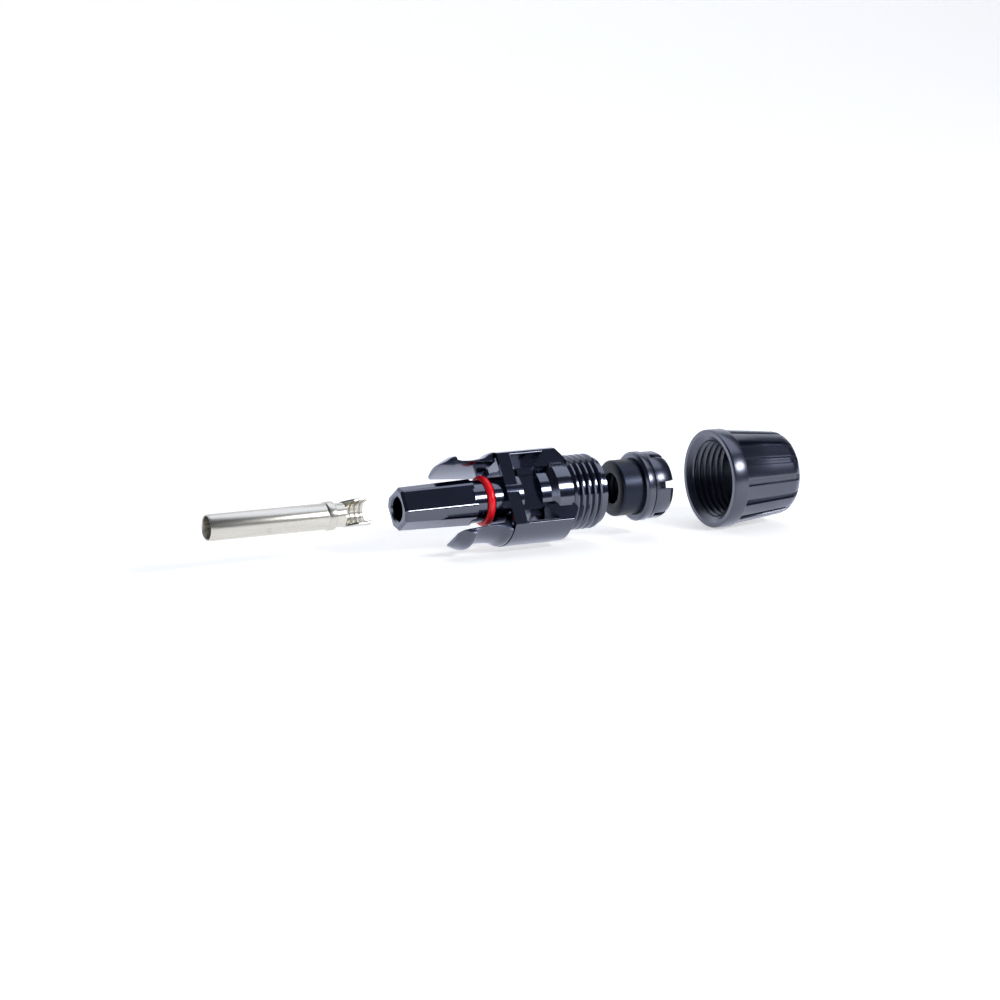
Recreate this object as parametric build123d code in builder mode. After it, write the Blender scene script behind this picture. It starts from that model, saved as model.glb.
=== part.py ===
from build123d import *
from math import cos, radians, sin
import os

# Cable coupler for solar panel leads: the half with the long nose and the socket contact.
# It lies on a bench taken apart, every piece on one line in the order it goes together.
# +X runs along that line from the contact to the nut, +Z is up, and z = 0 is the bench.
# Lengths are in millimetres and angles in degrees.

# ---- how the pieces lie ----
latch_roll = 33.0        # turn of the latch arms away from upright
contact_gap = 6.2        # contact to the tip of the nose
gland_gap = 4.3          # housing to the cable seal
nut_gap = 11.8           # strain relief cage to the mouth of the nut

# ---- running and sliding fits ----
running_fit = 0.06       # radial, knuckles of the latch arms
sliding_fit = 0.1        # radial, contact in its seat and seal in the housing
finger_fit = 0.3         # radial, fingers of the cage in the cone of the nut
thread_fit = 0.12        # radial, crests of the nut's thread over the housing's thread

# ---- socket contact and the spring inside it ----
socket_radius = 2.1      # bore for the 4 mm pin of the other half
contact_radius = 2.5
contact_tube = 23.7
contact_edge = 0.25      # chamfer round the mouth of the socket
socket_depth = 13.5
contact_collar = 1.6
collar_radius = 2.75
contact_neck = 2.0
neck_radius = 2.3
barrel_length = 5.2      # open crimp barrel for the bare wire
barrel_radius = 2.45
barrel_wall = 0.45
barrel_ear = 1.7         # straight walls above the round bottom of the barrel
barrel_roll = 25.0       # way the open side of the barrel faces, up from the horizontal
barrel_rise = 2.4        # length over which the walls rise from the neck
barrel_floor = 0.3       # height over the centre line at which they start
serration_pitch = 1.05
serration_count = 4
serration_width = 0.35
serration_depth = 0.15
spring_start = 4.0
spring_length = 6.0
spring_thickness = 0.12
spring_clear = 0.05      # band stands back from the wall of the socket
spring_gap = 0.03        # radial, between the band and its seat
spring_rim = 0.8
spring_slot = 0.6
spring_leaves = 8

# ---- nose of the housing ----
nose_across = 7.2
nose_corner = 1.45
nose_round = 0.6
nose_edge = 0.45
nose_length = 15.2
nose_taper = 1.3
nose_overlap = 0.4       # the core starts inside the nose
nose_mouth = 2.3         # lip that stops the contact, clear of the 4 mm pin
lip_length = 1.6
seat_clear = 0.2         # behind the lip, to the mouth of a seated contact
mouth_edge = 0.3         # bevel at both ends of the through bore

# ---- O-ring and the neck that carries it ----
ring_section = 1.5
groove_radius = 3.4
shoulder_radius = 4.1
groove_start = 17.2
groove_length = 1.8
ring_gap = 0.01

# ---- body of the housing ----
body_start = 21.1        # from the tip of the nose
wing_radius = 9.1
wing_inner = 6.9         # flat inner faces of the wings, from the centre line
flat_width = 10.4        # between the two flats
wing_edge = 0.2
wing_length = 12.6
wing_end_rise = 0.1      # foot of the slope over the crests of the thread
wing_end_slope = 1.6
band_length = 2.6
band_wall = 0.8
band_overlap = 0.5
core_radius = 4.35
bulge_radius = 5.25
bulge_end = 24.6
waist_radius = 4.1
waist_slope = 0.4
waist_end = 28.0
hip_radius = 5.55
hip_end = 30.4
barrel_start = 31.5
rear_step = 0.4          # rear barrel below the crests of the thread
saddle_across = 8.4      # plate beside the waist, between its two faces
saddle_height = 8.6
pad_length = 3.2         # raised pad on each face of the saddle
pad_height = 1.5
pad_offset = 3.4
pad_rise = 0.5
ramp_start = 28.4
ramp_length = 2.6
ramp_foot = 3.95
thread_start = 34.1

# ---- threaded end of the housing ----
seat_wall = 1.05         # between the seat of the seal and the roots of the thread
thread_depth = 0.65
thread_pitch = 1.35
thread_turns = 5
thread_lead = 0.65
thread_rise = 0.35       # shares of the pitch at which a crest begins, ends and has fallen
thread_crest = 0.6
thread_fall = 0.95
seal_seat_depth = 4.8
barrel_room = 3.95       # radius of the hollow that takes the crimp barrel

# ---- latch arms ----
latch_reach = 11.3       # from the front of the body to the tips
latch_width = 8.4
latch_foot = 2.0         # length of the thick part at the root
latch_gap = 0.2          # between an arm and the wing that carries it
latch_root_radius = 9.0
latch_root_inner = 6.2
latch_waist_radius = 8.0
latch_tip_inner = 7.1
barb_radius = 9.0
barb_back = 8.0          # from the front of the body to the step behind the barb
barb_top = 0.5           # length of the barb's crown
barb_rise = 1.4          # length of the steep part in front of it
barb_step = 0.6
knuckle_radius = 0.5
knuckle_cover = 0.3      # wing under the knuckle
knuckle_set = 0.35       # knuckle's centre behind the front of the body
knuckle_length = 6.4
knuckle_neck = 0.6

# ---- cable seal ----
seal_radius = 5.5
seal_bore = 3.0
seal_nose = 4.6          # part of the seal in front of the cage
seal_length = 9.4
seal_edge = 0.35

# ---- strain relief cage ----
cage_wall = 1.3          # flange over the seal
flange_length = 1.8
cage_notch = 0.35
notch_depth = 0.5
flange_edge = 0.5
crown_step = 0.2         # fingers below the rim of the flange
finger_length = 4.1
finger_straight = 2.8    # part of a finger before it slopes in
finger_count = 6
finger_slot = 1.1
finger_root = 0.7        # from the front of the crown to the slots
finger_turn = 24.0       # turn of the first slot from the front flat
cage_end_wall = 1.1
cage_lip = 0.8           # tips of the fingers inside the seal's outside

# ---- nut ----
nut_wall = 2.5           # outside of the collar over the housing's thread
nut_fall = 1.7           # radius lost from the collar to the cable end
nut_length = 17.3
nut_collar = 3.2
nut_mouth_wall = 1.1
nut_thread_length = 8.0
nut_end_wall = 1.8
cable_hole = 4.0
rib_count = 14
rib_turn = 5.0           # turn of the first groove from the front flat
rib_groove_width = 1.5
rib_groove_depth = 0.65
nut_dome = 2.8
nut_edge = 0.3
nut_lead = 1.0           # bevel from the mouth to the first thread

# ---- radii that follow from the seal, which the cable sets ----
thread_radius = seal_radius + sliding_fit + seat_wall + thread_depth
wing_end_radius = thread_radius + wing_end_rise
rear_radius = thread_radius - rear_step
cage_radius = seal_radius + cage_wall
crown_radius = cage_radius - crown_step
cage_end_bore = seal_radius - cage_lip
cage_end_radius = cage_end_bore + cage_end_wall
nut_radius = thread_radius + nut_wall
nut_end_radius = nut_radius - nut_fall

# ---- places along the line, worked out from the sizes above ----
contact_length = contact_tube + contact_collar + contact_neck + barrel_length
thread_length = 2 * thread_lead + thread_turns * thread_pitch
housing_length = thread_start + thread_length
cage_length = flange_length + cage_notch + finger_length
gland_length = seal_nose + cage_length
line_length = (contact_length + contact_gap + housing_length + gland_gap
               + gland_length + nut_gap + nut_length)
contact_x = -line_length / 2
nose_x = contact_x + contact_length + contact_gap
body_x = nose_x + body_start
seal_x = nose_x + housing_length + gland_gap
cage_x = seal_x + seal_nose
nut_x = cage_x + cage_length + nut_gap

os.makedirs("parts", exist_ok=True)

# ---- the common centre line and the planes that share it ----
axis_height = nut_radius
centre_line = Axis((0, 0, axis_height), (1, 0, 0))
arm_way = Vector(0, sin(radians(latch_roll)), cos(radians(latch_roll)))
flat_way = Vector(0, -cos(radians(latch_roll)), sin(radians(latch_roll)))
overcut = 1.0            # how far a cut runs past the face it enters


def lengthwise(x, way=flat_way):
    """Plane through the centre line: its x runs along the line, and way is its normal."""
    return Plane(origin=(x, 0, axis_height), x_dir=(1, 0, 0), z_dir=way)


def across(x, up=arm_way):
    """Plane square to the centre line: its y points along up."""
    return Plane(origin=(x, 0, axis_height), x_dir=up.cross(Vector(1, 0, 0)), z_dir=(1, 0, 0))


def turned(angle):
    """Direction square to the centre line, angle degrees round it from the front flat."""
    return flat_way.rotate(Axis.X, angle)


# Contact: a tube with a solid web behind the socket, a collar that stops it in the housing,
# and an open crimp barrel.
collar_x = contact_tube
neck_x = collar_x + contact_collar
barrel_x = neck_x + contact_neck
spring_outer = socket_radius + spring_clear + spring_thickness
spring_seat = spring_outer + spring_gap
barrel_bore = barrel_radius - barrel_wall
barrel_top = 2 * barrel_ear + barrel_radius
open_way = Vector(0, -cos(radians(barrel_roll)), sin(radians(barrel_roll)))

with BuildPart() as socket_contact:
    with BuildSketch(lengthwise(contact_x)):
        with BuildLine():
            Polyline(
                (0, 0),
                (0, contact_radius - contact_edge),
                (contact_edge, contact_radius),
                (collar_x, contact_radius),
                (collar_x, collar_radius),
                (neck_x, collar_radius),
                (neck_x, neck_radius),
                (barrel_x, neck_radius),
                (barrel_x, 0),
                close=True,
            )
        make_face()
    revolve(axis=centre_line)
    with BuildSketch(across(contact_x)):
        Circle(socket_radius)
    extrude(amount=socket_depth, mode=Mode.SUBTRACT)
    with BuildSketch(across(contact_x + spring_start)):
        Circle(spring_seat)
    extrude(amount=spring_length, mode=Mode.SUBTRACT)
    with BuildSketch(across(contact_x + barrel_x, open_way)):
        Circle(barrel_radius)
        with Locations((0, barrel_ear / 2)):
            Rectangle(2 * barrel_radius, barrel_ear)
    extrude(amount=barrel_length)
    with BuildSketch(across(contact_x + barrel_x, open_way)):
        Circle(barrel_bore)
        with Locations((0, barrel_radius)):
            Rectangle(2 * barrel_bore, 2 * barrel_radius)
    extrude(amount=barrel_length, mode=Mode.SUBTRACT)
    # the walls of the barrel rise from the neck along a slope
    with BuildSketch(lengthwise(contact_x + barrel_x, open_way.cross(Vector(-1, 0, 0)))):
        Polygon((0, barrel_floor), (0, barrel_top), (barrel_rise, barrel_top),
                (barrel_rise, barrel_ear), align=None)
    extrude(amount=2 * barrel_radius, both=True, mode=Mode.SUBTRACT)
    for turn in range(serration_count):
        with BuildSketch(across(contact_x + barrel_x + (turn + 1) * serration_pitch, open_way)):
            Circle(barrel_bore + serration_depth)
        extrude(amount=serration_width, mode=Mode.SUBTRACT)
socket_contact.part.label = "socket_contact"

# Spring band inside the socket: two rims joined by thin leaves.
spring_x = contact_x + spring_start + spring_gap
with BuildPart() as contact_spring:
    with BuildSketch(across(spring_x)):
        Circle(spring_outer)
        Circle(spring_outer - spring_thickness, mode=Mode.SUBTRACT)
    extrude(amount=spring_length - 2 * spring_gap)
    for leaf in range(spring_leaves):
        slot_way = turned(leaf * 360 / spring_leaves)
        with BuildSketch(lengthwise(contact_x + spring_start + spring_length / 2, slot_way)):
            Rectangle(spring_length - 2 * spring_rim, spring_slot)
        extrude(amount=contact_radius, mode=Mode.SUBTRACT)
contact_spring.part.label = "contact_spring"

# Housing: nose, neck, core, wings and threaded end in one moulding.
body_end = body_start + wing_length
wing_tail = body_end + wing_end_slope
root_radius = thread_radius - thread_depth
knuckle_place = wing_inner + knuckle_cover + knuckle_radius
contact_seat = lip_length + seat_clear
core_x = nose_length - nose_overlap

with BuildPart() as housing:
    with BuildSketch(across(nose_x)):
        Rectangle(nose_across, nose_across)
        chamfer(vertices(), nose_corner)
        fillet(vertices(), nose_round)
    extrude(amount=nose_length, taper=-nose_taper)
    chamfer(faces().sort_by(Axis.X)[0].edges(), nose_edge)
    # neck, core and rear barrel, then the thread, crest by crest
    with BuildSketch(lengthwise(nose_x)):
        Polygon(
            (core_x, 0),
            (core_x, shoulder_radius),
            (groove_start, shoulder_radius),
            (groove_start, groove_radius),
            (groove_start + groove_length, groove_radius),
            (groove_start + groove_length, core_radius),
            (body_start, core_radius),
            (body_start, bulge_radius),
            (bulge_end, bulge_radius),
            (bulge_end + waist_slope, waist_radius),
            (waist_end, waist_radius),
            (waist_end + waist_slope, hip_radius),
            (hip_end, hip_radius),
            (barrel_start, rear_radius),
            (thread_start, rear_radius),
            (thread_start, 0),
            align=None,
        )
    revolve(axis=centre_line)
    with BuildSketch(lengthwise(nose_x)):
        with BuildLine():
            crests = [(thread_start, root_radius), (thread_start + thread_lead, root_radius)]
            for turn in range(thread_turns):
                start = thread_start + thread_lead + turn * thread_pitch
                crests.append((start + thread_rise * thread_pitch, thread_radius))
                crests.append((start + thread_crest * thread_pitch, thread_radius))
                crests.append((start + thread_fall * thread_pitch, root_radius))
            Polyline((thread_start, 0), *crests, (housing_length, root_radius),
                     (housing_length, 0), close=True)
        make_face()
    revolve(axis=centre_line)
    # wings: two segments of a circle, cut by the flats
    with BuildSketch(across(body_x)):
        Circle(wing_radius)
        Rectangle(flat_width, 2 * wing_radius, mode=Mode.INTERSECT)
        Rectangle(flat_width, 2 * wing_inner, mode=Mode.SUBTRACT)
        fillet(vertices(), wing_edge)
    extrude(amount=wing_length + wing_end_slope)
    # front band: two bars that close the flats and join the wings
    with BuildSketch(across(body_x)):
        Rectangle(flat_width, 2 * (wing_inner + band_overlap))
        Rectangle(flat_width - 2 * band_wall, 2 * (wing_inner + band_overlap), mode=Mode.SUBTRACT)
    extrude(amount=band_length)
    # saddle plate beside the waist, and a raised pad on each of its faces
    with BuildSketch(lengthwise(nose_x)):
        with Locations(((body_start + ramp_start + ramp_length) / 2, 0)):
            Rectangle(ramp_start + ramp_length - body_start, saddle_height)
    extrude(amount=saddle_across / 2, both=True)
    for side in (1, -1):
        with BuildSketch(lengthwise(nose_x, side * flat_way)):
            with Locations((bulge_end + pad_length / 2, pad_offset)):
                Rectangle(pad_length, pad_height)
        extrude(amount=saddle_across / 2 + pad_rise)
    # ramps that close the windows at the rear and carry the wings
    for side in (1, -1):
        with BuildSketch(lengthwise(nose_x)):
            Polygon(
                (ramp_start, side * ramp_foot),
                (ramp_start + ramp_length, side * (wing_inner + band_overlap / 2)),
                (wing_tail, side * (wing_inner + band_overlap / 2)),
                (wing_tail, side * ramp_foot),
                align=None,
            )
        extrude(amount=flat_width / 2, both=True)
    # the rear of the wings slopes down to the thread
    with BuildSketch(lengthwise(nose_x)):
        Polygon(
            (body_end, wing_radius),
            (body_end, wing_radius + overcut),
            (wing_tail + overcut, wing_radius + overcut),
            (wing_tail + overcut, wing_end_radius),
            (wing_tail, wing_end_radius),
            align=None,
        )
    revolve(axis=centre_line, mode=Mode.SUBTRACT)
    # blind sockets for the knuckles of the latch arms
    for side in (1, -1):
        with BuildSketch(lengthwise(body_x)):
            with Locations((knuckle_set, side * knuckle_place)):
                Circle(knuckle_radius + running_fit)
        extrude(amount=knuckle_length / 2 + sliding_fit, both=True, mode=Mode.SUBTRACT)
    # through bore: lip, seat of the contact, room for the crimp barrel, seat of the seal
    with BuildSketch(lengthwise(nose_x)):
        Polygon(
            (-overcut, 0),
            (-overcut, nose_mouth + mouth_edge),
            (0, nose_mouth + mouth_edge),
            (mouth_edge, nose_mouth),
            (lip_length, nose_mouth),
            (lip_length, contact_radius + sliding_fit),
            (contact_seat + collar_x, contact_radius + sliding_fit),
            (contact_seat + collar_x, collar_radius + sliding_fit),
            (contact_seat + neck_x, collar_radius + sliding_fit),
            (contact_seat + barrel_x, barrel_room),
            (housing_length - seal_seat_depth, barrel_room),
            (housing_length - seal_seat_depth, seal_radius + sliding_fit),
            (housing_length - mouth_edge, seal_radius + sliding_fit),
            (housing_length, seal_radius + sliding_fit + mouth_edge),
            (housing_length + overcut, seal_radius + sliding_fit + mouth_edge),
            (housing_length + overcut, 0),
            align=None,
        )
    revolve(axis=centre_line, mode=Mode.SUBTRACT)
housing.part.label = "housing"

# O-ring, seated in the groove behind the nose.
with BuildPart() as o_ring:
    with BuildSketch(lengthwise(nose_x)):
        with Locations((groove_start + groove_length / 2, groove_radius + ring_section / 2)):
            Circle(ring_section / 2 - ring_gap)
    revolve(axis=centre_line)
o_ring.part.label = "o_ring"

# Latch arms: each hooks its barb into the other half and bends in at its root.
barb_front = barb_back + barb_top
for name, side in (("latch_arm_upper", 1), ("latch_arm_lower", -1)):
    with BuildPart() as latch_arm:
        with BuildSketch(lengthwise(body_x)):
            Polygon(
                (-latch_reach, side * latch_tip_inner),
                (-latch_reach, side * (barb_radius + overcut)),
                (-latch_gap, side * (barb_radius + overcut)),
                (-latch_gap, side * latch_root_inner),
                align=None,
            )
        extrude(amount=latch_width / 2, both=True)
        with BuildSketch(lengthwise(body_x)):
            with BuildLine():
                Polyline(
                    (-latch_reach, 0),
                    (-latch_reach, latch_tip_inner + barb_step),
                    (-barb_front - barb_rise / 2, barb_radius - barb_step / 2),
                    (-barb_front, barb_radius),
                    (-barb_back, barb_radius),
                    (-barb_back, latch_waist_radius + barb_step / 2),
                )
                ThreePointArc(
                    (-barb_back, latch_waist_radius + barb_step / 2),
                    (-barb_back / 2, latch_waist_radius),
                    (-latch_foot, latch_waist_radius + barb_step / 2),
                )
                Polyline(
                    (-latch_foot, latch_waist_radius + barb_step / 2),
                    (-latch_foot / 3, latch_root_radius),
                    (-latch_gap, latch_root_radius),
                    (-latch_gap, 0),
                    (-latch_reach, 0),
                )
            make_face()
        revolve(axis=centre_line, mode=Mode.INTERSECT)
        with BuildSketch(lengthwise(body_x)):
            with Locations((knuckle_set, side * knuckle_place)):
                Circle(knuckle_radius)
            with Locations(((knuckle_set - 2 * latch_gap) / 2, side * knuckle_place)):
                Rectangle(knuckle_set + 2 * latch_gap, knuckle_neck)
        extrude(amount=knuckle_length / 2, both=True)
    latch_arm.part.label = name
    export_step(latch_arm.part, f"parts/{name}.step")

# Cable seal: a rubber sleeve that the cage squeezes on to the cable.
with BuildPart() as cable_seal:
    with BuildSketch(across(seal_x)):
        Circle(seal_radius)
        Circle(seal_bore, mode=Mode.SUBTRACT)
    extrude(amount=seal_length)
    chamfer(edges().filter_by(GeomType.CIRCLE).group_by(Axis.X)[0], seal_edge)
cable_seal.part.label = "cable_seal"

# Strain relief cage: a flange and a crown of fingers round the rear of the seal.
finger_x = flange_length + cage_notch
seal_stop = seal_length - seal_nose + sliding_fit
with BuildPart() as strain_relief_cage:
    with BuildSketch(lengthwise(cage_x)):
        Polygon(
            (0, seal_radius),
            (0, cage_radius - flange_edge),
            (flange_edge, cage_radius),
            (flange_length, cage_radius),
            (flange_length, cage_radius - notch_depth),
            (finger_x, cage_radius - notch_depth),
            (finger_x, crown_radius),
            (finger_x + finger_straight, crown_radius),
            (cage_length, cage_end_radius),
            (cage_length, cage_end_bore),
            (seal_stop, cage_end_bore),
            (seal_stop, seal_radius),
            align=None,
        )
    revolve(axis=centre_line)
    for slot in range(finger_count):
        slot_way = turned(finger_turn + slot * 360 / finger_count)
        with BuildSketch(lengthwise(cage_x, slot_way)):
            with Locations((finger_x + finger_root + cage_length / 2, 0)):
                Rectangle(cage_length, finger_slot)
        extrude(amount=cage_radius + overcut, mode=Mode.SUBTRACT)
strain_relief_cage.part.label = "strain_relief_cage"

# Nut: an inner thread, a cone that closes the fingers, and ribs for the grip.
nut_minor_radius = thread_radius + thread_fit
nut_major_radius = nut_minor_radius + thread_depth
cone_start = nut_thread_length + finger_x + finger_straight
cone_end = nut_thread_length + cage_length
floor_x = nut_length - nut_end_wall
with BuildPart() as gland_nut:
    with BuildSketch(lengthwise(nut_x)):
        Polygon(
            (0, 0),
            (0, nut_radius - nut_edge),
            (nut_edge, nut_radius),
            (nut_collar, nut_radius),
            (nut_length, nut_end_radius),
            (nut_length, 0),
            align=None,
        )
    revolve(axis=centre_line)
    fillet(edges().filter_by(GeomType.CIRCLE).sort_by(Axis.X)[-1], nut_dome)
    for rib in range(rib_count):
        rib_way = turned(rib_turn + rib * 360 / rib_count)
        with BuildSketch(lengthwise(nut_x, rib_way)):
            Polygon(
                (nut_collar, nut_radius - rib_groove_depth),
                (nut_collar, nut_radius + overcut),
                (nut_length + overcut, nut_radius + overcut),
                (nut_length + overcut, nut_end_radius - rib_groove_depth),
                align=None,
            )
        extrude(amount=rib_groove_width / 2, both=True, mode=Mode.SUBTRACT)
    with BuildSketch(lengthwise(nut_x)):
        with BuildLine():
            valleys = [(-overcut, nut_radius - nut_mouth_wall), (0, nut_radius - nut_mouth_wall),
                       (nut_lead, nut_minor_radius)]
            for turn in range(thread_turns):
                start = nut_lead + turn * thread_pitch
                valleys.append((start + thread_rise * thread_pitch, nut_major_radius))
                valleys.append((start + thread_crest * thread_pitch, nut_major_radius))
                valleys.append((start + thread_fall * thread_pitch, nut_minor_radius))
            Polyline(
                (-overcut, 0),
                *valleys,
                (cone_start, nut_minor_radius),
                (cone_end, cage_end_radius + finger_fit),
                (floor_x, cage_end_radius + finger_fit),
                (floor_x, cable_hole),
                (nut_length + overcut, cable_hole),
                (nut_length + overcut, 0),
                close=True,
            )
        make_face()
    revolve(axis=centre_line, mode=Mode.SUBTRACT)
gland_nut.part.label = "gland_nut"

export_step(socket_contact.part, "parts/socket_contact.step")
export_step(contact_spring.part, "parts/contact_spring.step")
export_step(housing.part, "parts/housing.step")
export_step(o_ring.part, "parts/o_ring.step")
export_step(cable_seal.part, "parts/cable_seal.step")
export_step(strain_relief_cage.part, "parts/strain_relief_cage.step")
export_step(gland_nut.part, "parts/gland_nut.step")
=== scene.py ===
# %% [markdown]
# # Solar cable connector, taken apart
# This lesson builds the looks of one half of a solar cable coupler: a tinned socket contact, a
# black housing with a red O-ring and two latch arms, a rubber cable seal in its cage, and a ribbed
# nut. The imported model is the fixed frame. Each piece is modelled on the place that the frame gives
# it, so nothing has to be fitted afterwards.

# %% Load the frame
from math import atan2, cos, pi, radians, sin

import bpy
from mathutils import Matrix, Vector


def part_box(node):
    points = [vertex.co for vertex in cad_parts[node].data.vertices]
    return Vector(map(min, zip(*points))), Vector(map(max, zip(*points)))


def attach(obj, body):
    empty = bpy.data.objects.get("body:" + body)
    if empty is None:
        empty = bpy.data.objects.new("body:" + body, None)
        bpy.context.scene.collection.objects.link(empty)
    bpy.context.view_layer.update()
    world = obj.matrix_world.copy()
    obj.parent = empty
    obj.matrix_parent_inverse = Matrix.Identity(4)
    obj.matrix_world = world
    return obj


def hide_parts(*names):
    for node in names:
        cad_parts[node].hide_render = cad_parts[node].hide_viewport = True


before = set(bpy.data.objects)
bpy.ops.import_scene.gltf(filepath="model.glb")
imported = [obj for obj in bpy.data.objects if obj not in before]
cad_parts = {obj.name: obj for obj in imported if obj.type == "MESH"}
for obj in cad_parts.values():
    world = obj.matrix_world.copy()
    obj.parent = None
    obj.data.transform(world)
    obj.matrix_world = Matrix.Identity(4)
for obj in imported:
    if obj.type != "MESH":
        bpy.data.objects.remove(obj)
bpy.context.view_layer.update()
MM = 0.001
print("nodes:", sorted(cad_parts))

# %% [markdown]
# ## Where the pieces are
# All pieces share one centre line along X. Its height is the middle of the nut, and each piece
# starts at the low end of its own box. The O-ring is placed by its middle, and the latch arms by
# the face of the housing that they spring from. The arms are turned away from upright, and the
# slots of the cage turn with them.

# %% Places along the line
nut_low, nut_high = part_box("gland_nut")
AXIS = (nut_low.z + nut_high.z) / 2
LATCH_ROLL = radians(33)
CONTACT_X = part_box("socket_contact")[0].x
NOSE_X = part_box("housing")[0].x
ring_low, ring_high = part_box("o_ring")
RING_X = (ring_low.x + ring_high.x) / 2
SEAL_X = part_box("cable_seal")[0].x
CAGE_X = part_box("strain_relief_cage")[0].x
NUT_X = nut_low.x
NOSE_TO_ARM_ROOT = 21.1
BODY_X = NOSE_X + NOSE_TO_ARM_ROOT * MM
print(f"centre line {AXIS / MM:.1f} mm up")
print(f"nose at {NOSE_X / MM:.1f} mm, nut at {NUT_X / MM:.1f} mm")

# %% [markdown]
# ## Camera and floor
# The camera stands low and to the left of the row, far away with a long lens, as for a product on
# a table. The floor sweeps up into a wall behind the row, so that no edge shows. A little light of
# its own keeps it white, as a lit table does, and the pieces still throw soft shadows on it.

# %% Camera
CAMERA_AZIMUTH = radians(27.95)
CAMERA_ELEVATION = radians(10.65)
CAMERA_DISTANCE = 0.5885
CAMERA_LENS = 110.5
CAMERA_SENSOR = 36
target = Vector((-1.8 * MM, 0, AXIS - 0.15 * MM))
toward = Vector((-sin(CAMERA_AZIMUTH) * cos(CAMERA_ELEVATION),
                 -cos(CAMERA_AZIMUTH) * cos(CAMERA_ELEVATION),
                 sin(CAMERA_ELEVATION)))
bpy.ops.object.camera_add(location=target + CAMERA_DISTANCE * toward)
camera = bpy.context.object
camera.rotation_euler = (-toward).to_track_quat("-Z", "Y").to_euler()
camera.data.sensor_width = CAMERA_SENSOR
camera.data.lens = CAMERA_LENS
camera.data.clip_start = 10 * MM
bpy.context.scene.camera = camera
print("camera at", [round(c, 3) for c in camera.location])


# %% [markdown]
# ## Helpers for the shaping
# Every operator acts on what is selected, so each helper clears the selection first. Turned parts
# are made as on a lathe: a ring is extruded and scaled from station to station. What is not round
# starts as a block. Edges that a mould would leave soft are rounded with a Bevel modifier, which is
# applied at once.

# %% Turned parts and blocks
def only(piece):
    """Leave just this piece selected and active."""
    bpy.ops.object.select_all(action="DESELECT")
    piece.select_set(True)
    bpy.context.view_layer.objects.active = piece


def turn(name, stations, sides=96, closed=False):
    """A turned part round the X axis. Stations are (x, radius) pairs in mm, ring after ring.

    A closed part comes back to its first ring. An open one has its two ends filled.
    """
    bpy.ops.object.select_all(action="DESELECT")
    x, radius = stations[0]
    bpy.ops.mesh.primitive_circle_add(vertices=sides, radius=radius * MM, fill_type="NOTHING",
                                      location=(x * MM, 0, 0), rotation=(0, pi / 2, 0))
    piece = bpy.context.object
    piece.name = name
    bpy.ops.object.transform_apply()
    bpy.ops.object.mode_set(mode="EDIT")
    bpy.ops.mesh.select_all(action="SELECT")
    for next_x, next_radius in stations[1:]:
        bpy.ops.mesh.extrude_region_move(
            TRANSFORM_OT_translate={"value": ((next_x - x) * MM, 0, 0)})
        scale = next_radius / radius
        if scale != 1:
            bpy.ops.transform.resize(value=(1, scale, scale),
                                     center_override=(next_x * MM, 0, 0))
        x, radius = next_x, next_radius
    bpy.ops.mesh.select_all(action="SELECT")
    bpy.ops.mesh.remove_doubles(threshold=1e-6)
    if not closed:
        bpy.ops.mesh.fill_holes(sides=0)
    bpy.ops.mesh.select_all(action="SELECT")
    bpy.ops.mesh.normals_make_consistent(inside=False)
    bpy.ops.object.mode_set(mode="OBJECT")
    return piece


def block(name, low, high):
    """A box between two corners, in mm, before it is turned and put in its place."""
    bpy.ops.object.select_all(action="DESELECT")
    middle = [(a + b) / 2 * MM for a, b in zip(low, high)]
    bpy.ops.mesh.primitive_cube_add(size=1, location=middle,
                                    scale=[(b - a) * MM for a, b in zip(low, high)])
    piece = bpy.context.object
    piece.name = name
    bpy.ops.object.transform_apply()
    return piece


# %% Modifiers and finishing
def modify(piece, kind, **settings):
    """Add a modifier and apply it."""
    only(piece)
    modifier = piece.modifiers.new(kind.title(), kind)
    for setting, value in settings.items():
        setattr(modifier, setting, value)
    bpy.ops.object.modifier_apply(modifier=modifier.name)
    return piece


def soften(piece, width=0.12, segments=2, angle=35):
    """Round the edges that a mould leaves soft. width is in mm."""
    return modify(piece, "BEVEL", width=width * MM, segments=segments, limit_method="ANGLE",
                  angle_limit=radians(angle), miter_outer="MITER_ARC", harden_normals=False)


def combine(piece, tool, operation):
    """Add a tool to a piece, cut it away or keep what they share, and throw the tool away."""
    modify(piece, "BOOLEAN", object=tool, operation=operation, solver="EXACT")
    bpy.data.objects.remove(tool)
    return piece


def settle(piece, x0, roll=0.0):
    """Turn a piece round the centre line and put it in its place, with its object at the origin."""
    only(piece)
    piece.rotation_euler.x = -roll
    piece.location = (x0, 0, AXIS)
    bpy.ops.object.transform_apply()
    return piece


def dress(piece, material, body, slot, *nodes, angle=30):
    """Give a finished piece its material, shading and body, and hide the nodes it stands for."""
    only(piece)
    bpy.ops.object.mode_set(mode="EDIT")
    bpy.ops.mesh.select_all(action="SELECT")
    bpy.ops.mesh.remove_doubles(threshold=1e-7)
    bpy.ops.object.mode_set(mode="OBJECT")
    bpy.ops.object.shade_smooth_by_angle(angle=radians(angle))
    piece.data.materials.clear()
    piece.data.materials.append(material)
    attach(piece, body)
    if nodes:
        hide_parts(*nodes)
    print(piece.name, len(piece.data.polygons), "faces")
    return piece


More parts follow.
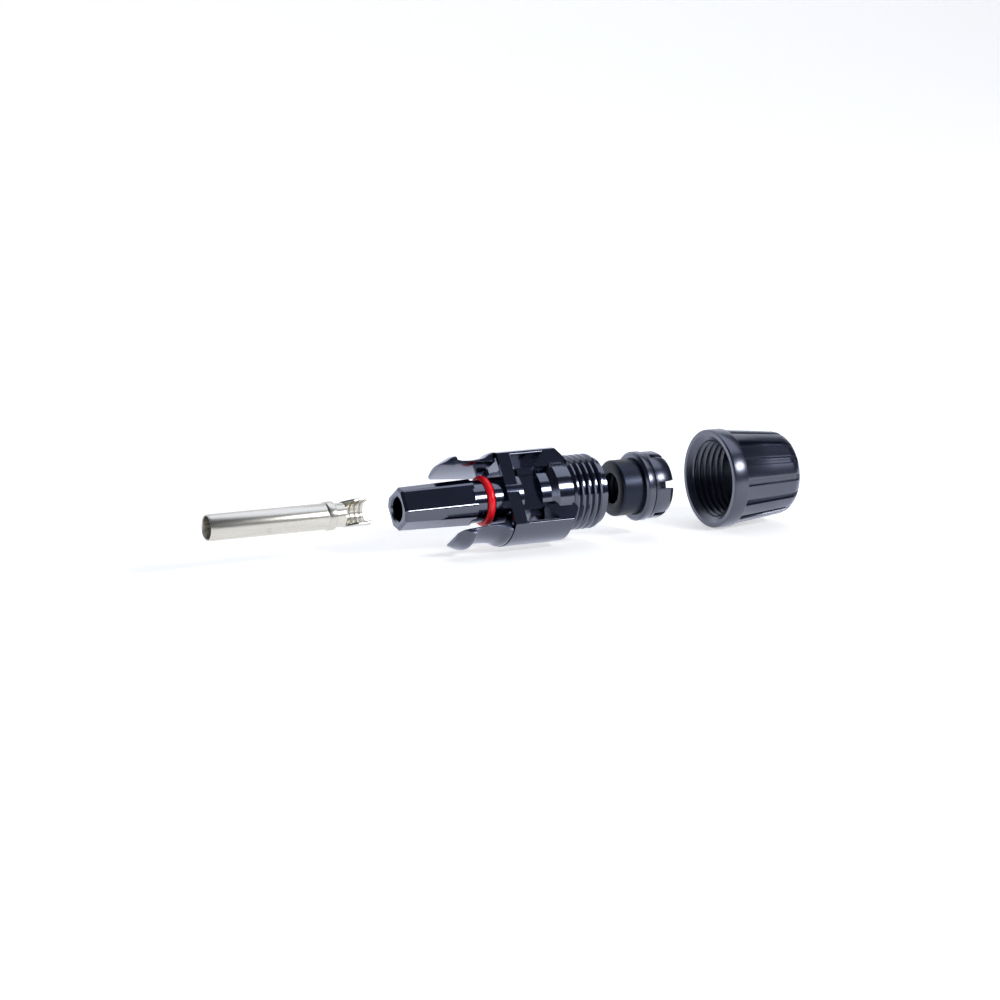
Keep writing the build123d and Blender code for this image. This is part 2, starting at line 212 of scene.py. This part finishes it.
# %% Floor that sweeps up behind the row
FLOOR_HALF = 2.0
WALL_Y = 1.2
WALL_HEIGHT = 1.6
SWEEP = 0.5
bpy.ops.object.select_all(action="DESELECT")
bpy.ops.mesh.primitive_plane_add(size=2 * FLOOR_HALF, location=(0, WALL_Y - FLOOR_HALF, 0))
floor = bpy.context.object
floor.name = "Floor"
bpy.ops.object.mode_set(mode="EDIT")
bpy.ops.mesh.select_all(action="DESELECT")
bpy.ops.object.mode_set(mode="OBJECT")
for edge in floor.data.edges:
    edge.select = all(floor.data.vertices[v].co.y > 0 for v in edge.vertices)
bpy.ops.object.mode_set(mode="EDIT")
bpy.ops.mesh.extrude_region_move(TRANSFORM_OT_translate={"value": (0, 0, WALL_HEIGHT)})
bpy.ops.object.mode_set(mode="OBJECT")
bpy.ops.object.transform_apply()
modify(floor, "BEVEL", width=SWEEP, segments=16, limit_method="ANGLE", angle_limit=radians(30))
bpy.ops.object.shade_smooth()
print("floor", [round(d, 2) for d in floor.dimensions])

# %% [markdown]
# ## Colours and nodes
# A colour is written as the hex value that a screen shows, and one function turns it into the
# linear light that the shader works with. A second helper adds a node with its settings and links.
# A third starts each material with the coordinates of the piece itself, so that a pattern stays on
# the piece when it moves.

# %% Helpers for materials
def linear(hex_colour):
    """sRGB hex to linear RGBA."""
    channels = [int(hex_colour[i:i + 2], 16) / 255 for i in (0, 2, 4)]
    return [c / 12.92 if c <= 0.04045 else ((c + 0.055) / 1.055) ** 2.4 for c in channels] + [1]


def add(tree, kind, links=(), **values):
    """Add a node: values set its sockets or its properties, links join (socket, from_output)."""
    node = tree.nodes.new(kind)
    for key, value in values.items():
        if key in node.inputs:
            node.inputs[key].default_value = value
        else:
            setattr(node, key, value)
    for socket, output in links:
        tree.links.new(output, node.inputs[socket])
    return node


def start(name):
    """A new material with its empty tree, a shader and object coordinates."""
    material = bpy.data.materials.new(name)
    material.use_nodes = True
    tree = material.node_tree
    shader = tree.nodes["Principled BSDF"]
    place = add(tree, "ShaderNodeTexCoord").outputs["Object"]
    return material, tree, shader, place


# %% Floor and world
floor_material, _, shader, _ = start("White acrylic table")
shader.inputs["Base Color"].default_value = linear("F0F1F3")
shader.inputs["Roughness"].default_value = 0.6
shader.inputs["Emission Color"].default_value = linear("FFFFFF")
shader.inputs["Emission Strength"].default_value = 0.5
floor.data.materials.append(floor_material)

world = bpy.data.worlds.new("Studio")
world.use_nodes = True
background = world.node_tree.nodes["Background"]
background.inputs["Color"].default_value = linear("C9D2E6")
background.inputs["Strength"].default_value = 0.1
bpy.context.scene.world = world
bpy.context.scene.view_settings.view_transform = "Standard"
print("floor is", floor_material.name)


# %% [markdown]
# ## Lights
# One softbox stands to the right in front, where it draws the bright spots on the round parts. A
# wide one hangs overhead, and lights the table and the tops. A weak one on the left keeps the faces
# on that side from going dead. Their power is worked out from the brightness that their surface
# should have.

# %% Lights
def softbox(name, direction, distance, width, height, brightness, tint):
    """An area light that faces the row, with a given surface brightness."""
    direction = Vector(direction).normalized()
    bpy.ops.object.light_add(type="AREA", location=distance * direction)
    lamp = bpy.context.object
    lamp.name = name
    lamp.rotation_euler = direction.to_track_quat("Z", "Y").to_euler()
    lamp.data.shape = "RECTANGLE"
    lamp.data.size = width
    lamp.data.size_y = height
    lamp.data.energy = brightness * pi * width * height
    lamp.data.color = linear(tint)[:3]
    return lamp


softbox("Key softbox", (0.46, -0.74, 0.50), 1.0, 0.34, 0.18, 30, "FFFFFF")
softbox("Overhead softbox", (0.25, 0.10, 0.95), 1.2, 1.4, 0.8, 1.5, "EEF3FF")
softbox("Left softbox", (-0.90, -0.42, 0.16), 0.9, 0.30, 0.30, 2.2, "E8EEFF")

# %% [markdown]
# ## Materials
# The housing is a glass-fibre filled PPE, injection moulded in a polished tool: near black and
# glossy, with a very faint grain. The nut and the cage are a polyamide from an etched tool, which
# is satin. The contact is copper with a bright tin plate, drawn lengthwise, and the band inside it
# is rolled bronze. The O-ring is silicone and the seal is an EPDM rubber, both softer in their
# shine. Where the real grain is too fine to show, its pattern is drawn as coarse as it needs to be.

# %% Black moulded plastic
# A polished tool leaves sharp reflections that waver a little where the melt flowed, and an etched
# tool spreads them. The real grain is far finer than this one of 0.45 mm, and would not show.
GRAIN_SCALE = 1 / (0.45 * MM)
FLOW_SCALE = 1 / (6 * MM)
BUMP_DEPTH = 0.02 * MM


def moulded(name, smooth, rough, coat, grain_bump):
    """Black plastic from a tool: roughness between smooth and rough, and a skin of gloss."""
    material, tree, shader, place = start(name)
    # The blue cast of the base colour and the blue tints of the reflections and of the coat are
    # painted sheen: they stand for the blue light of the studio on the near-black plastic.
    shader.inputs["Base Color"].default_value = linear("04070F")
    shader.inputs["IOR"].default_value = 1.6
    shader.inputs["Specular Tint"].default_value = linear("C6D4FF")
    shader.inputs["Coat Weight"].default_value = coat
    shader.inputs["Coat Roughness"].default_value = smooth
    shader.inputs["Coat IOR"].default_value = 1.85
    shader.inputs["Coat Tint"].default_value = linear("C6D4FF")
    grain = add(tree, "ShaderNodeTexNoise", [("Vector", place)], Scale=GRAIN_SCALE, Detail=3.0)
    flow = add(tree, "ShaderNodeTexNoise", [("Vector", place)], Scale=FLOW_SCALE, Detail=2.0)
    spread = add(tree, "ShaderNodeMapRange", [("Value", flow.outputs["Fac"])])
    spread.inputs["To Min"].default_value = smooth
    spread.inputs["To Max"].default_value = rough
    tree.links.new(spread.outputs["Result"], shader.inputs["Roughness"])
    bump = add(tree, "ShaderNodeBump", [("Height", grain.outputs["Fac"])], Strength=grain_bump,
               Distance=BUMP_DEPTH)
    tree.links.new(bump.outputs["Normal"], shader.inputs["Normal"])
    return material


plastic = moulded("Black polished PPE", 0.12, 0.24, 1.0, 0.05)
satin_plastic = moulded("Black satin polyamide", 0.24, 0.38, 0.9, 0.15)

# %% Tin plate
# Tin over drawn copper is bright but not a mirror. The lines of the drawing run along the tube, and
# blur the reflections lengthwise. They are drawn coarser than they are, at 1.8 to the millimetre.
TIN_LINES = 1.8 / MM
LINE_STRETCH = 0.05
tin, tree, shader, place = start("Bright tin plate")
shader.inputs["Metallic"].default_value = 1.0
stretch = add(tree, "ShaderNodeMapping", [("Vector", place)])
stretch.inputs["Scale"].default_value = (LINE_STRETCH, 1, 1)
drawn = add(tree, "ShaderNodeTexNoise", [("Vector", stretch.outputs["Vector"])],
            Scale=TIN_LINES, Detail=2.0)
shade = add(tree, "ShaderNodeMix", [("Factor", drawn.outputs["Fac"])], data_type="RGBA")
shade.inputs[6].default_value = linear("C4C0B6")
shade.inputs[7].default_value = linear("D8D6D0")
tree.links.new(shade.outputs[2], shader.inputs["Base Color"])
rough = add(tree, "ShaderNodeMapRange", [("Value", drawn.outputs["Fac"])])
rough.inputs["To Min"].default_value = 0.22
rough.inputs["To Max"].default_value = 0.34
tree.links.new(rough.outputs["Result"], shader.inputs["Roughness"])
bump = add(tree, "ShaderNodeBump", [("Height", drawn.outputs["Fac"])], Strength=0.06,
           Distance=BUMP_DEPTH)
tree.links.new(bump.outputs["Normal"], shader.inputs["Normal"])

# %% Spring bronze
# Rolled strip is warm and evenly bright, with a slight unevenness from the rolls.
ROLLED_GRAIN = 1.5 / MM
bronze, tree, shader, place = start("Phosphor bronze strip")
shader.inputs["Metallic"].default_value = 1.0
shader.inputs["Base Color"].default_value = linear("C9A878")
shader.inputs["Roughness"].default_value = 0.3
rolled = add(tree, "ShaderNodeTexNoise", [("Vector", place)], Scale=ROLLED_GRAIN)
bump = add(tree, "ShaderNodeBump", [("Height", rolled.outputs["Fac"])], Strength=0.05,
           Distance=BUMP_DEPTH)
tree.links.new(bump.outputs["Normal"], shader.inputs["Normal"])

# %% Red silicone
# Moulded silicone is smooth, and lets a little light in, so its red glows at the edges.
SILICONE_CLOUDS = 0.9 / MM
silicone, tree, shader, place = start("Red silicone")
shader.inputs["IOR"].default_value = 1.42
shader.inputs["Roughness"].default_value = 0.28
shader.inputs["Subsurface Weight"].default_value = 0.05
shader.inputs["Subsurface Radius"].default_value = (0.6 * MM, 0.1 * MM, 0.1 * MM)
cloud = add(tree, "ShaderNodeTexNoise", [("Vector", place)], Scale=SILICONE_CLOUDS, Detail=2.0)
shade = add(tree, "ShaderNodeMix", [("Factor", cloud.outputs["Fac"])], data_type="RGBA")
shade.inputs[6].default_value = linear("F4121F")
shade.inputs[7].default_value = linear("FF2030")
tree.links.new(shade.outputs[2], shader.inputs["Base Color"])
bump = add(tree, "ShaderNodeBump", [("Height", cloud.outputs["Fac"])], Strength=0.04,
           Distance=BUMP_DEPTH)
tree.links.new(bump.outputs["Normal"], shader.inputs["Normal"])

# %% Black rubber
# EPDM from a plain mould has a low shine, which its fine grain breaks up.
RUBBER_GRAIN = 1.4 / MM
RUBBER_BUMP_DEPTH = 0.03 * MM
rubber, tree, shader, place = start("Black EPDM rubber")
# The blue cast of the base colour and the blue tint of the reflections are painted sheen: they stand
# for the blue light of the studio on the black rubber.
shader.inputs["Base Color"].default_value = linear("060A14")
shader.inputs["IOR"].default_value = 1.52
shader.inputs["Specular Tint"].default_value = linear("C6D4FF")
cloud = add(tree, "ShaderNodeTexNoise", [("Vector", place)], Scale=RUBBER_GRAIN, Detail=4.0)
rough = add(tree, "ShaderNodeMapRange", [("Value", cloud.outputs["Fac"])])
rough.inputs["To Min"].default_value = 0.32
rough.inputs["To Max"].default_value = 0.46
tree.links.new(rough.outputs["Result"], shader.inputs["Roughness"])
bump = add(tree, "ShaderNodeBump", [("Height", cloud.outputs["Fac"])], Strength=0.12,
           Distance=RUBBER_BUMP_DEPTH)
tree.links.new(bump.outputs["Normal"], shader.inputs["Normal"])
print("materials:", [m.name for m in bpy.data.materials])

# %% [markdown]
# ## O-ring
# A moulded silicone ring, stretched into its groove. A torus has its inner rows pressed out, where
# the ring sits on the floor of the groove, and a fine line stands up round the outside, where the
# two halves of its mould met. A helper picks vertices or faces by their place, and every later
# piece that is shaped in edit mode uses it.

# %% Picking by place
def pick(piece, kind, test):
    """Select just the vertices (VERT) or faces (FACE) that pass the test, and go into edit mode."""
    only(piece)
    bpy.ops.object.mode_set(mode="EDIT")
    bpy.ops.mesh.select_mode(type=kind)
    bpy.ops.mesh.select_all(action="DESELECT")
    bpy.ops.object.mode_set(mode="OBJECT")
    items = piece.data.vertices if kind == "VERT" else piece.data.polygons
    for item in items:
        item.select = test(item)
    bpy.ops.object.mode_set(mode="EDIT")


def reach(vertex):
    """How far a vertex is from the X axis, in mm."""
    return (vertex.co / MM).yz.length


# %% O-ring
RING_SECTION = 0.74
RING_MIDDLE = 4.15
RING_FLAT = 3.47
RING_INNER = 3.41
RING_ROWS = ((0, 3.415), (3.415, 3.44), (3.44, RING_FLAT))
RING_LINE_GROWTH = 1.003


bpy.ops.object.select_all(action="DESELECT")
bpy.ops.mesh.primitive_torus_add(major_segments=144, minor_segments=32,
                                 major_radius=RING_MIDDLE * MM, minor_radius=RING_SECTION * MM,
                                 rotation=(0, pi / 2, 0))
ring = bpy.context.object
ring.name = "O_ring"
bpy.ops.object.transform_apply()
for low, high in RING_ROWS:
    pick(ring, "VERT", lambda vertex: low < reach(vertex) <= high)
    growth = RING_FLAT / max(low, RING_INNER)
    bpy.ops.transform.resize(value=(1, growth, growth), center_override=(0, 0, 0))
    bpy.ops.object.mode_set(mode="OBJECT")
pick(ring, "VERT", lambda vertex: reach(vertex) > RING_MIDDLE + 0.999 * RING_SECTION)
bpy.ops.transform.resize(value=(1, RING_LINE_GROWTH, RING_LINE_GROWTH),
                         center_override=(0, 0, 0))
bpy.ops.object.mode_set(mode="OBJECT")
settle(ring, RING_X)
dress(ring, silicone, "housing", "red_silicone", "o_ring")

# %% [markdown]
# ## Cable seal
# A thick rubber sleeve. Lips inside it grip the cable, so the bore steps in and out, and the outer
# corners are well rounded.

# %% Cable seal
SEAL_BORE = 3.0
SEAL_RADIUS = 5.5
SEAL_LENGTH = 9.4
LIPS = 4
LIP_PITCH = 2.1
LIP_DEPTH = 0.35
LAST_LIP_X = 8.6
lips = []
for lip in range(LIPS):
    x = LAST_LIP_X - lip * LIP_PITCH
    lips += [(x, SEAL_BORE), (x - 0.4, SEAL_BORE + LIP_DEPTH), (x - 1.1, SEAL_BORE + LIP_DEPTH),
             (x - 1.5, SEAL_BORE)]
seal = turn("Cable_seal", [(0, SEAL_BORE + 0.2), (0, SEAL_RADIUS - 0.35), (0.35, SEAL_RADIUS),
                           (SEAL_LENGTH, SEAL_RADIUS), (SEAL_LENGTH, SEAL_BORE), *lips,
                           (0.2, SEAL_BORE), (0, SEAL_BORE + 0.2)], closed=True)
soften(seal, 0.1)
settle(seal, SEAL_X)
dress(seal, rubber, "gland", "black_rubber", "cable_seal")

# %% [markdown]
# ## Strain relief cage
# A moulded ring with a flange in front and six fingers behind. The ring is turned first. Six slots
# are then cut from behind, each wider at its open end, so that the fingers can close on the seal.

# %% Strain relief cage
CAGE_LENGTH = 6.25
FLANGE_RADIUS = 6.8
CROWN_RADIUS = 6.6
SLOT_WIDTH = 1.1
SLOT_START = 2.85
SLOT_SPREAD = 1.5
CAGE_BORE = 5.52
CAGE_END_BORE = 4.7
CAGE_NECK = 6.3
FINGERS = 6
FINGER_TURN = radians(24)
cage = turn("Strain_relief_cage",
            [(0, CAGE_BORE), (0, CAGE_NECK), (0.5, FLANGE_RADIUS), (1.8, FLANGE_RADIUS),
             (1.8, CAGE_NECK), (2.15, CAGE_NECK), (2.15, CROWN_RADIUS), (4.95, CROWN_RADIUS),
             (5.7, 6.25), (CAGE_LENGTH, 5.8), (CAGE_LENGTH, CAGE_END_BORE),
             (4.9, CAGE_END_BORE), (4.9, CAGE_BORE), (0, CAGE_BORE)], sides=144, closed=True)
for finger in range(FINGERS):
    slot = block("Slot", (SLOT_START, -9, -SLOT_WIDTH / 2),
                 (CAGE_LENGTH + 1, -3, SLOT_WIDTH / 2))
    pick(slot, "VERT", lambda vertex: vertex.co.x / MM > CAGE_LENGTH)
    bpy.ops.transform.resize(value=(1, 1, SLOT_SPREAD), center_override=(0, 0, 0))
    bpy.ops.object.mode_set(mode="OBJECT")
    slot.rotation_euler.x = FINGER_TURN + radians(finger * 360 / FINGERS)
    bpy.ops.object.transform_apply()
    combine(cage, slot, "DIFFERENCE")
soften(cage, 0.08)
settle(cage, CAGE_X, LATCH_ROLL)
dress(cage, satin_plastic, "gland", "black_plastic", "strain_relief_cage")

# %% [markdown]
# ## Nut
# The nut is turned with twelve sides to each of its fourteen ribs, so that a groove is four sides
# wide. The faces of the grooves are picked by their angle, extruded, and scaled in towards the
# centre line. The last row is scaled back out, which lets each groove run out on the dome. The
# thread inside is a row of blunt ridges.

# %% Nut body
NUT_RADIUS = 9.8
NUT_END_RADIUS = 8.1
NUT_LENGTH = 17.3
NUT_COLLAR = 3.2
NUT_DOME = 2.8
NUT_BARREL = 9.52
NUT_TAPER = 0.1
DOME_STEPS = 8
CABLE_HOLE = 4.0
CONE_RADIUS = 6.1
THREAD_INNER = 7.42
THREAD_MIDDLE = 7.55
THREAD_OUTER = 8.07
THREAD_PITCH = 1.35
THREAD_TURNS = 5
RIBS = 14
RIB_SIDES = 12
GROOVE_SIDES = 4
GROOVE_SCALE = 0.918
GROOVE_END_X = 16.4
RIB_TURN = radians(5)
SIDE_ANGLE = 2 * pi / (RIBS * RIB_SIDES)
dome_x = NUT_LENGTH - NUT_DOME
dome_middle = NUT_END_RADIUS + 0.28 - NUT_DOME
dome = []
for step in range(DOME_STEPS + 1):
    angle = radians(90 - step * 90 / DOME_STEPS)
    dome.append((dome_x + NUT_DOME * cos(angle), dome_middle + NUT_DOME * sin(angle)))
cone = [(15.5, CABLE_HOLE), (15.5, CONE_RADIUS), (14.25, CONE_RADIUS), (12.95, THREAD_INNER),
        (8.2, THREAD_INNER)]
thread = []
for ridge in reversed(range(THREAD_TURNS)):
    x = 1.0 + ridge * THREAD_PITCH
    thread += [(x + 0.95 * THREAD_PITCH, THREAD_INNER), (x + 0.85 * THREAD_PITCH, THREAD_MIDDLE),
               (x + 0.62 * THREAD_PITCH, THREAD_OUTER), (x + 0.4 * THREAD_PITCH, THREAD_OUTER),
               (x + 0.12 * THREAD_PITCH, THREAD_MIDDLE), (x, THREAD_INNER)]
nut = turn("Gland_nut",
           [(0, 8.75), (0, 9.55), (0.1, 9.72), (0.3, NUT_RADIUS), (NUT_COLLAR - 0.2, NUT_RADIUS),
            (NUT_COLLAR, NUT_RADIUS - 0.05), (NUT_COLLAR + 0.15, NUT_BARREL),
            (10, NUT_BARREL - 6.65 * NUT_TAPER), *dome, (NUT_LENGTH, CABLE_HOLE + 0.2),
            (NUT_LENGTH - 0.2, CABLE_HOLE), *cone, *thread, (0.6, 7.75), (0.15, 8.6),
            (0, 8.75)],
           sides=RIBS * RIB_SIDES, closed=True)
print("nut turned:", len(nut.data.polygons), "faces")

# %% Grooves of the nut
def in_groove(face):
    """Is this face on the outside of the nut, behind the collar, and in the width of a groove?"""
    middle = face.center / MM
    side = (atan2(middle.z, middle.y) / SIDE_ANGLE) % RIB_SIDES
    outside = middle.yz.length > 7.0 and face.normal.yz.dot(middle.yz) > 0
    return outside and NUT_COLLAR + 0.15 < middle.x < GROOVE_END_X and side < GROOVE_SIDES


print("groove faces:", sum(in_groove(face) for face in nut.data.polygons))
pick(nut, "FACE", in_groove)
bpy.ops.mesh.extrude_region_move()
bpy.ops.transform.resize(value=(1, GROOVE_SCALE, GROOVE_SCALE), center_override=(0, 0, 0))
bpy.ops.object.mode_set(mode="OBJECT")
pushed = {vertex.index for vertex in nut.data.vertices if vertex.select}
last_x = max(nut.data.vertices[index].co.x for index in pushed) - 0.01 * MM
pick(nut, "VERT", lambda vertex: vertex.index in pushed and vertex.co.x > last_x)
bpy.ops.transform.resize(value=(1, 1 / GROOVE_SCALE, 1 / GROOVE_SCALE),
                         center_override=(0, 0, 0))
bpy.ops.mesh.select_all(action="SELECT")
bpy.ops.mesh.remove_doubles(threshold=2e-6)
bpy.ops.mesh.normals_make_consistent(inside=False)
bpy.ops.object.mode_set(mode="OBJECT")
soften(nut, 0.14, 2, 32)
settle(nut, NUT_X, LATCH_ROLL - RIB_TURN + GROOVE_SIDES / 2 * SIDE_ANGLE)
dress(nut, satin_plastic, "nut", "black_plastic", "gland_nut")

# %% [markdown]
# ## Latch arms
# Each arm is a slice of a turned shape: its back follows the round of the housing, dips behind the
# barb and swells again at the root. The shape is turned whole, and bisected to the width and the
# underside of an arm. A small round knuckle stands for the root that flexes.

# %% Latch arms
ARM_REACH = 11.3
ARM_WIDTH = 8.4
ARM_GAP = 0.2
ARM_BACK = 9.0
KNUCKLE_PLACE = 7.7
KNUCKLE_X = 0.35
KNUCKLE_RADIUS = 0.5
KNUCKLE_WIDTH = 6.4
KNUCKLE_NECK = 0.6
WAIST_X = -7.9
WAIST_LENGTH = 5.7
WAIST_STEPS = 8
back = [(-ARM_REACH, 7.7), (-10.6, 8.12), (-9.2, 8.75), (-8.7, 8.96), (-8.35, ARM_BACK),
        (-8.05, 8.98), (-7.95, 8.85), (WAIST_X, 8.4)]
for step in range(1, WAIST_STEPS + 1):
    x = WAIST_X + step * WAIST_LENGTH / WAIST_STEPS
    back.append((x, 8.0 + 0.32 * ((x + 5) / 3) ** 2))
back += [(-1.7, 8.5), (-1.2, 8.8), (-0.7, 8.97), (-ARM_GAP, ARM_BACK)]
print("the back of an arm has", len(back), "stations")


# %% Cutting with a plane
def cut(piece, place, normal):
    """Cut away what lies on the far side of a plane, and close the cut."""
    only(piece)
    bpy.ops.object.mode_set(mode="EDIT")
    bpy.ops.mesh.select_all(action="SELECT")
    bpy.ops.mesh.bisect(plane_co=[c * MM for c in place], plane_no=Vector(normal).normalized(),
                        use_fill=True, clear_outer=True, threshold=1e-7)
    bpy.ops.object.mode_set(mode="OBJECT")


# %% Two arms
for name in ("upper", "lower"):
    arm = turn(f"Latch_arm_{name}", back, sides=160)
    cut(arm, (0, ARM_WIDTH / 2, 0), (0, 1, 0))
    cut(arm, (0, -ARM_WIDTH / 2, 0), (0, -1, 0))
    cut(arm, (-ARM_GAP, 0, 6.2), (-0.9, 0, -ARM_REACH + ARM_GAP))
    soften(arm, 0.22, 3, 38)
    bpy.ops.object.select_all(action="DESELECT")
    bpy.ops.mesh.primitive_cylinder_add(vertices=32, radius=KNUCKLE_RADIUS * MM,
                                        depth=KNUCKLE_WIDTH * MM,
                                        location=(KNUCKLE_X * MM, 0, KNUCKLE_PLACE * MM),
                                        rotation=(pi / 2, 0, 0))
    knuckle = bpy.context.object
    bpy.ops.object.transform_apply()
    neck = block("Neck", (-0.6, -KNUCKLE_WIDTH / 2, KNUCKLE_PLACE - KNUCKLE_NECK / 2),
                 (KNUCKLE_X, KNUCKLE_WIDTH / 2, KNUCKLE_PLACE + KNUCKLE_NECK / 2))
    combine(knuckle, neck, "UNION")
    combine(arm, knuckle, "UNION")
    if name == "lower":
        only(arm)
        arm.rotation_euler.x = pi
        bpy.ops.object.transform_apply()
    settle(arm, BODY_X, LATCH_ROLL)
    dress(arm, plastic, f"latch_{name}", "black_plastic", f"latch_arm_{name}")

# %% [markdown]
# ## Contact
# The tube is turned from copper rod: a rounded mouth, a seat inside for the spring band, and a
# collar. The crimp barrel behind it starts as a turned shell with grooves inside. It is bisected to
# a half pipe, the two cut faces are drawn up into walls, and a slanting cut lets the walls rise
# from the neck. A punch leaves a small dimple in the tube.

# %% Contact tube
SOCKET_RADIUS = 2.1
SOCKET_DEPTH = 13.5
TUBE_RADIUS = 2.5
COLLAR_RADIUS = 2.75
NECK_RADIUS = 2.3
BARREL_X = 27.3
contact = turn("Socket_contact",
               [(SOCKET_DEPTH, 0.5), (SOCKET_DEPTH, SOCKET_RADIUS), (10, SOCKET_RADIUS),
                (10, 2.3), (4, 2.3), (4, SOCKET_RADIUS), (0.4, SOCKET_RADIUS), (0.12, 2.17),
                (0, 2.3), (0.05, 2.41), (0.25, TUBE_RADIUS), (23.6, TUBE_RADIUS), (23.75, 2.68),
                (23.9, COLLAR_RADIUS), (25.15, COLLAR_RADIUS), (25.3, 2.62),
                (25.35, NECK_RADIUS), (BARREL_X, NECK_RADIUS), (BARREL_X, 0.5)], sides=128)
print("tube turned:", len(contact.data.polygons), "faces")

# %% Crimp barrel
BARREL_LENGTH = 5.2
BARREL_RADIUS = 2.45
BARREL_BORE = 2.0
SERRATIONS = 4
SERRATION_PITCH = 1.05
SERRATION_DEPTH = 0.15
EAR = 1.7
BARREL_TURN = radians(90 - 25)
barrel_end = BARREL_X + BARREL_LENGTH
serrations = []
for serration in reversed(range(1, SERRATIONS + 1)):
    x = BARREL_X + serration * SERRATION_PITCH
    floor_radius = BARREL_BORE + SERRATION_DEPTH
    serrations += [(x + 0.35, BARREL_BORE), (x + 0.3, floor_radius), (x + 0.05, floor_radius),
                   (x, BARREL_BORE)]
barrel = turn("Barrel", [(BARREL_X - 0.3, 1.6), (BARREL_X - 0.3, NECK_RADIUS),
                         (BARREL_X + 0.2, BARREL_RADIUS), (barrel_end, BARREL_RADIUS),
                         (barrel_end, BARREL_BORE), *serrations, (BARREL_X + 0.2, BARREL_BORE),
                         (BARREL_X - 0.3, 1.6)], sides=96, closed=True)
cut(barrel, (0, 0, 0), (0, 0, 1))
pick(barrel, "FACE", lambda face: face.normal.z > 0.99 and abs(face.center.z) < 0.01 * MM)
bpy.ops.mesh.extrude_region_move(TRANSFORM_OT_translate={"value": (0, 0, EAR * MM)})
bpy.ops.object.mode_set(mode="OBJECT")
cut(barrel, (BARREL_X, 0, 0.3), (-1.4, 0, 2.4))
soften(barrel, 0.05, 2, 50)
only(barrel)
barrel.rotation_euler.x = BARREL_TURN
bpy.ops.object.transform_apply()
combine(contact, barrel, "UNION")
print("tube and barrel:", len(contact.data.polygons), "faces")

# %% Dimple
DIMPLE_X = 11.6
DIMPLE_TURN = radians(28)
DIMPLE_RADIUS = 0.62
DIMPLE_REACH = 2.92
bpy.ops.object.select_all(action="DESELECT")
dimple_way = Vector((0, -cos(DIMPLE_TURN), -sin(DIMPLE_TURN)))
dimple_place = Vector((DIMPLE_X, 0, 0)) * MM + dimple_way * DIMPLE_REACH * MM
bpy.ops.mesh.primitive_uv_sphere_add(segments=32, ring_count=16, radius=DIMPLE_RADIUS * MM,
                                     location=dimple_place)
dimple = bpy.context.object
bpy.ops.object.transform_apply()
combine(contact, dimple, "DIFFERENCE")
settle(contact, CONTACT_X)
dress(contact, tin, "contact", "tinned_copper", "socket_contact")

# %% [markdown]
# ## Housing and spring band
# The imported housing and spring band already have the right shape, down to the windows, the waist
# and the thread. They stay, and get the finish of moulded plastic and of rolled bronze strip.

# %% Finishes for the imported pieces
for node, material in (("housing", plastic), ("contact_spring", bronze)):
    mesh = bpy.data.objects[node].data
    mesh.materials.clear()
    mesh.materials.append(material)
    print(node, "is", material.name)
